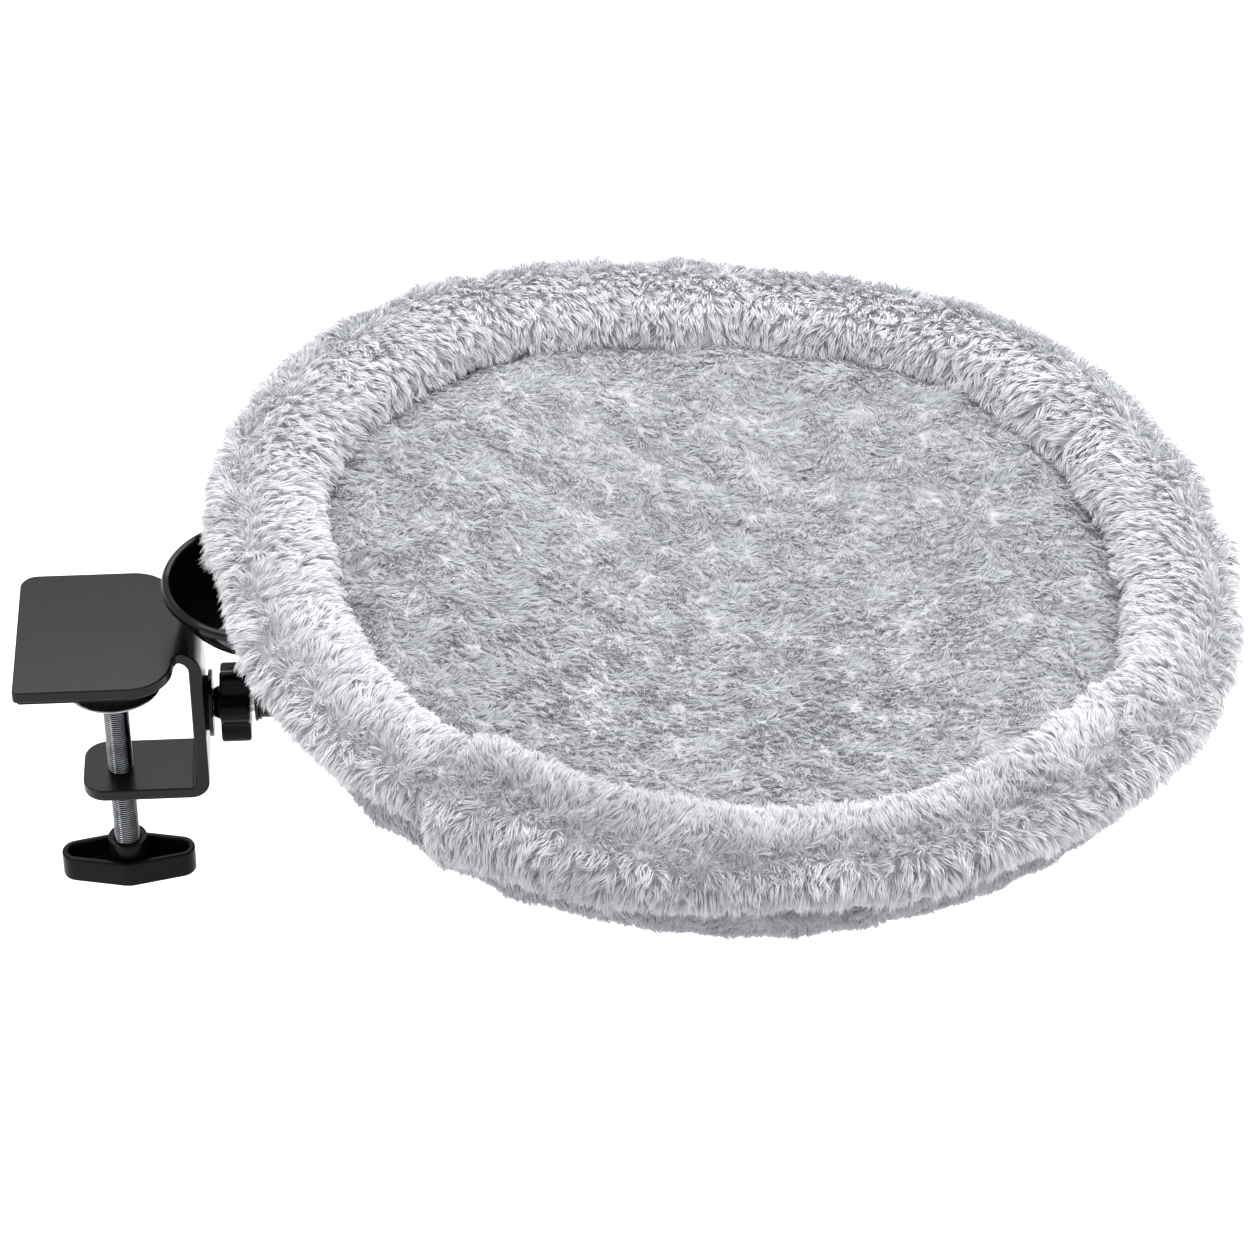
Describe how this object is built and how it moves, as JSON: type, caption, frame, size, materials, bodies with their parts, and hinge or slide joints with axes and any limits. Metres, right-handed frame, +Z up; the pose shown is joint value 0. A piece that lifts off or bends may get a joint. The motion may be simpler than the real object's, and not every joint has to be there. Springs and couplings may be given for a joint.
{
  "type": "clamp-on pet bed",
  "caption": "Round plush pet bed on a tilting tube arm, held at the edge of a desk by a bent steel screw clamp, with a small dish at its near rim.",
  "frame": {"origin": "centre of the clamp plate's contact face on the desk, on the axis of the clamp screw", "axes": "+X along the arm from the clamp to the bed, +Y away from a viewer who has the clamp on the left, +Z up from the desk"},
  "size_m": [0.5688, 0.4885, 0.2127],
  "materials": {
    "powder_black": "satin black powder coat",
    "gloss_black": "gloss black enamel",
    "rubber_black": "matte",
    "plastic_black": "fine satin grain",
    "zinc": "bright zinc plate",
    "brass": "turned",
    "fibre": "matte fibre",
    "spring_steel": "drawn rod",
    "plywood": "sanded plywood",
    "plush": "light grey long-pile plush",
    "plush_shell": "light grey long-pile plush"
  },
  "bodies": {
    "clamp": {"clamp_bracket": "powder_black", "desk_pad": "rubber_black", "friction_washer": "fibre"},
    "jaw": {"pressure_pad": "zinc", "jaw_rubber": "rubber_black"},
    "press_screw": {"clamp_screw": "zinc", "clamp_handle": "plastic_black"},
    "arm": {"arm_stud": "zinc", "arm_collar": "powder_black", "arm_tube": "powder_black", "arm_end_cap": "plastic_black", "rim_dish": "gloss_black", "dish_post": "powder_black", "dish_screw": "zinc", "support_plate": "powder_black", "saddle_near": "powder_black", "saddle_far": "powder_black", "support_screw_1": "zinc", "support_screw_2": "zinc", "support_screw_3": "zinc", "support_screw_4": "zinc", "tee_nut_1": "zinc", "tee_nut_2": "zinc", "tee_nut_3": "zinc", "tee_nut_4": "zinc", "base_board": "plywood", "rim_hoop": "spring_steel", "hoop_ferrule": "spring_steel", "bed_shell": "plush_shell", "bolster_roll": "plush", "bolster_cuff": "plush", "floor_cushion": "plush"},
    "lock_washer": {"steel_washer": "powder_black"},
    "knob": {"lock_knob": "plastic_black", "knob_insert": "brass"}
  },
  "joints": [
    {"name": "jaw_slide", "type": "slide", "parent": "clamp", "child": "jaw", "axis": [0, 0, 1], "range_m": [-0.044, 0.013]},
    {"name": "screw_turn", "type": "hinge", "parent": "jaw", "child": "press_screw", "pos_m": [0, 0, -0.07], "axis": [0, 0, 1], "range_deg": [-12680, 3750]},
    {"name": "arm_tilt", "type": "hinge", "parent": "clamp", "child": "arm", "pos_m": [0.0425, 0, -0.037], "axis": [1, 0, 0], "range_deg": [-25, 25]},
    {"name": "washer_slide", "type": "slide", "parent": "arm", "child": "lock_washer", "axis": [1, 0, 0], "range_m": [0, 0.0015]},
    {"name": "knob_turn", "type": "hinge", "parent": "lock_washer", "child": "knob", "pos_m": [0.056, 0, -0.037], "axis": [1, 0, 0], "range_deg": [-1, 362]}
  ],
  "couplings": [
    {"joint": "screw_turn", "follows": "jaw_slide", "rad_per_m": 5026.5},
    {"joint": "knob_turn", "follows": "washer_slide", "rad_per_m": 4188.8}
  ]
}
